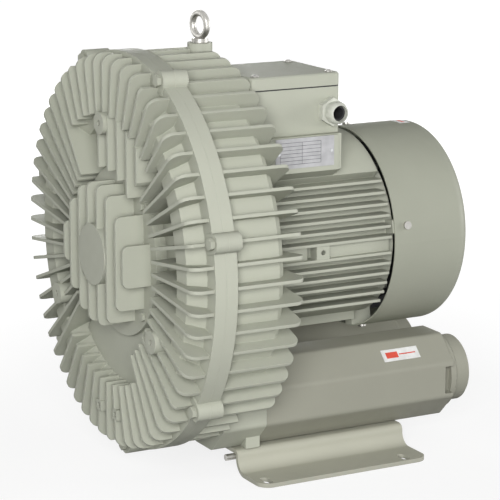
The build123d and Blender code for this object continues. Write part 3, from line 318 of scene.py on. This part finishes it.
def silencer_label():
    """White label with a plain red band and stripe, on the near silencer's upper flat."""
    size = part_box("near_silencer_casing")
    middle_x = (size[0].x + size[1].x) / 2
    middle_z = (size[0].z + size[1].z) / 2
    reach = (size[1].x - size[0].x) / 2 * math.sqrt(0.5)
    centre = Vector((middle_x + reach, 0.120, middle_z + reach))
    along = (0, 1, 0)
    up = (-1, 0, 1)
    label = [(0, 0.0006, 0.0262, 0.0085)]
    thickness = 0.0003
    slabs("silencer_label", centre, (along, up), label, "label_white", thickness)
    face = centre + Vector((1, 0, 1)).normalized() * thickness
    marks = [(-0.0125, 0.0006, 0.0085, 0.0042), (0.0095, 0.0006, 0.0120, 0.0008)]
    slabs("silencer_label_marks", face, (along, up), marks, "label_red", FILM)


def cowl_label():
    """Small sticker with a plain red mark, on the top of the cowl."""
    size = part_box("fan_cowl")
    top = size[1].z
    centre = Vector((0.0, 0.177, top - 0.0004))
    flat = ((1, 0, 0), (0, 1, 0))
    label = [(0, 0, 0.0110, 0.0075)]
    mark = [(0, 0, 0.0070, 0.0025)]
    thickness = 0.0005
    slabs("cowl_label", centre, flat, label, "label_white", thickness)
    face = centre + Vector((0, 0, thickness))
    slabs("cowl_label_mark", face, flat, mark, "label_red", FILM)


def nameplate_rules():
    """Ruled blank fields on the nameplate: thin lines and no lettering."""
    low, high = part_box("nameplate")
    middle = (low + high) / 2
    face = Vector((high.x, middle.y, middle.z))
    half_y = (high.y - low.y) / 2
    half_z = (high.z - low.z) / 2
    rows = 6
    margin = 0.005
    half_line = 0.00022
    lines = []
    for row in range(rows + 1):
        z = (row / rows - 0.5) * 2 * (half_z - margin)
        lines.append((-0.006, z, half_y - 0.012, half_line))
    for y in (-half_y + 0.006, -0.004, half_y - 0.018):
        lines.append((y, 0.0, half_line, half_z - margin))
    upright = ((0, 1, 0), (0, 0, 1))
    slabs("nameplate_rules", face, upright, lines, "ink_and_slot_shade", FILM)


def port_collar(name, node, x):
    """Threaded port: round flange, collar with a broken edge, and the pipe thread's grooves."""
    low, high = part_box(node)
    z = (low.z + high.z) / 2
    flange = (high.x - low.x) / 2
    length = high.y - low.y
    crest = 0.0361
    root = 0.0376
    collar = 0.0420
    face = 0.0090
    bevel = 0.0018
    profile = [(0.0, crest), (0.0, flange), (face - bevel, flange), (face, flange - bevel)]
    profile += [(face, 0.0435), (0.0102, collar), (length - 0.0020, collar)]
    profile += [(length, 0.0400), (length, 0.0392)]
    turns = 11
    pitch = (length - 0.004) / turns
    for turn in range(turns):
        y = length - 0.0025 - turn * pitch
        profile += [(y, root), (y - pitch / 2, crest)]
    piece = lathe(name, profile, (x, low.y, z), (0, 1, 0), "silencer_paint")
    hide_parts(node)


def gland():
    """Fluted dome nut of the cable gland."""
    nut_low, nut_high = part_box("cable_gland_nut")
    y = (nut_low.y + nut_high.y) / 2
    z = (nut_low.z + nut_high.z) / 2
    radius = (nut_high.y - nut_low.y) / 2
    length = nut_high.x - nut_low.x
    bore = 0.0095
    profile = [(0.0, bore), (0.0, radius - 0.0006), (0.0008, radius), (length * 0.55, radius)]
    profile += [(length * 0.80, radius * 0.90), (length * 0.95, radius * 0.76)]
    profile += [(length, radius * 0.70), (length, bore)]
    start = (nut_low.x, y, z)
    piece = lathe("gland_nut", profile, start, (1, 0, 0), "gland_plastic", 96)
    flutes = 12
    flute_depth = 0.0007
    for vertex in piece.data.vertices:
        place = Vector((0, vertex.co.y - y, vertex.co.z - z))
        depth = vertex.co.x - nut_low.x
        if place.length > radius * 0.95 and 0.0005 < depth < length * 0.7:
            turn = math.atan2(place.z, place.y)
            groove = flute_depth * (0.5 + 0.5 * math.cos(flutes * turn))
            vertex.co -= place.normalized() * groove
    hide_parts("cable_gland_nut")


def lid_screws():
    """Slotted pan heads at the corners of the terminal box lid; each slot is a flat dark film,
    painted shade in place of a cut slot.
    """
    low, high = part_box("terminal_lid_screws")
    lid_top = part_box("terminal_box_lid")[1].z
    radius = 0.0045
    shank = 0.0022
    pin = 0.0004
    rise = high.z - lid_top
    profile = [(-0.004, pin), (-0.004, shank), (0.0, shank), (0.0, radius), (rise * 0.35, radius)]
    profile += [(rise * 0.80, radius * 0.72), (rise, radius * 0.35), (rise, pin)]
    corners = ((low.x, low.y), (low.x, high.y), (high.x, low.y), (high.x, high.y))
    lid_x, lid_y = 0.04, -0.03
    slot = [(0, 0, radius * 0.6, 0.0005)]
    for number, (x, y) in enumerate(corners):
        inward_x = math.copysign(radius, lid_x - x)
        inward_y = math.copysign(radius, lid_y - y)
        middle = Vector((x + inward_x, y + inward_y, lid_top))
        name = f"lid_screw_{number}"
        head = lathe(name, profile, middle, (0, 0, 1), "zinc_steel", 32)
        if number == 0:
            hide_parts("terminal_lid_screws")
        # Painted shade: a dark film on each head's top stands in for the shade inside the screw's
        # slot.
        slot_at = middle + Vector((0, 0, rise - FILM / 2))
        turn = 0.5 + 0.9 * number
        across = ((math.cos(turn), math.sin(turn), 0), (-math.sin(turn), math.cos(turn), 0))
        slabs(f"lid_screw_slot_shade_{number}", slot_at, across, slot, "ink_and_slot_shade", FILM)


# ---------------------------------------------------------------- stage
def camera():
    """View from the cover side, turned to the terminal box, slightly from above."""
    place = (2.314165, -1.276082, 0.839404)
    back = Vector((0.8605, -0.4600, 0.2190)).normalized()
    right = Vector((-back.y, back.x, 0.0)).normalized()
    up = back.cross(right)
    rotation = Matrix((right, up, back)).transposed()
    data = bpy.data.cameras.new("camera")
    data.lens = 156.81
    data.sensor_width = 36.0
    data.clip_end = 50.0
    view = bpy.data.objects.new("camera", data)
    view.matrix_world = Matrix.Translation(place) @ rotation.to_4x4()
    scene.collection.objects.link(view)
    scene.camera = view


def lamp(name, place, target, size, power):
    data = bpy.data.lights.new(name, "AREA")
    data.shape = "DISK"
    data.size = size
    data.energy = power
    light = bpy.data.objects.new(name, data)
    aim = (Vector(target) - Vector(place)).to_track_quat("-Z", "Y")
    light.matrix_world = Matrix.Translation(place) @ aim.to_matrix().to_4x4()
    scene.collection.objects.link(light)


def lights():
    """One soft key over the camera's shoulder, and three low fills for the other sides."""
    middle = (0.0, 0.05, 0.25)
    lamp("key", (2.55, -1.50, 1.05), middle, 1.5, 86)
    lamp("front_fill", (-1.5, -2.6, 0.9), middle, 1.6, 12)
    lamp("rear_fill", (0.9, 3.0, 0.55), middle, 1.6, 62)
    lamp("far_fill", (-3.0, 0.9, 0.60), middle, 1.6, 62)


def background():
    """Dim white light all round, seen as plain white by the camera and in reflections."""
    world = bpy.data.worlds.new("studio")
    scene.world = world
    world.use_nodes = True
    nodes = world.node_tree.nodes
    links = world.node_tree.links
    surface = nodes["Background"]
    surface.inputs["Color"].default_value = (0.9, 0.9, 0.9, 1)
    surface.inputs["Strength"].default_value = 0.14
    seen = nodes.new("ShaderNodeBackground")
    seen.inputs["Color"].default_value = (1, 1, 1, 1)
    path = nodes.new("ShaderNodeLightPath")
    mixed = nodes.new("ShaderNodeMixShader")
    direct = nodes.new("ShaderNodeMath")
    direct.operation = "MAXIMUM"
    mirrored = nodes.new("ShaderNodeMath")
    mirrored.operation = "MAXIMUM"
    links.new(path.outputs["Is Glossy Ray"], mirrored.inputs[0])
    links.new(path.outputs["Is Transmission Ray"], mirrored.inputs[1])
    links.new(path.outputs["Is Camera Ray"], direct.inputs[0])
    links.new(mirrored.outputs[0], direct.inputs[1])
    links.new(direct.outputs[0], mixed.inputs["Fac"])
    links.new(surface.outputs[0], mixed.inputs[1])
    links.new(seen.outputs[0], mixed.inputs[2])
    links.new(mixed.outputs[0], nodes["World Output"].inputs["Surface"])


def floor():
    """Pale floor that keeps the blower's shadow and fades to white around it."""
    mesh = bpy.data.meshes.new("floor")
    half = 12.0
    shadow_glow, far_glow = 0.82, 1.0
    glow_from, glow_to = 0.4, 1.3
    corners = [(-half, -half, 0), (half, -half, 0), (half, half, 0), (-half, half, 0)]
    mesh.from_pydata(corners, [], [(0, 1, 2, 3)])
    ground = bpy.data.objects.new("floor", mesh)
    scene.collection.objects.link(ground)
    tree = Tree("floor_white")
    tree.shader.inputs["Base Color"].default_value = (0.20, 0.20, 0.20, 1)
    tree.shader.inputs["Roughness"].default_value = 0.9
    tree.shader.inputs["Specular IOR Level"].default_value = 0.0
    tree.shader.inputs["Emission Color"].default_value = (1, 1, 1, 1)
    path = tree.add("ShaderNodeLightPath")
    away = tree.add("ShaderNodeVectorMath", operation="LENGTH")
    tree.link(tree.place, away.inputs[0])
    glow = tree.span(away.outputs["Value"], glow_from, glow_to, shadow_glow, far_glow)
    glossy = path.outputs["Is Glossy Ray"]
    mirrored = tree.math("MAXIMUM", glossy, path.outputs["Is Transmission Ray"])
    direct = tree.math("MAXIMUM", path.outputs["Is Camera Ray"], mirrored)
    tree.link(tree.math("MULTIPLY", glow, direct), tree.shader.inputs["Emission Strength"])
    mesh.materials.append(tree.material)


scene.view_settings.view_transform = "Standard"
dress_nodes()
silencer_label()
cowl_label()
nameplate_rules()
port_collar("near_port", "near_port_flange", 0.062)
port_collar("far_port", "far_port_flange", -0.062)
gland()
lid_screws()
camera()
lights()
background()
floor()
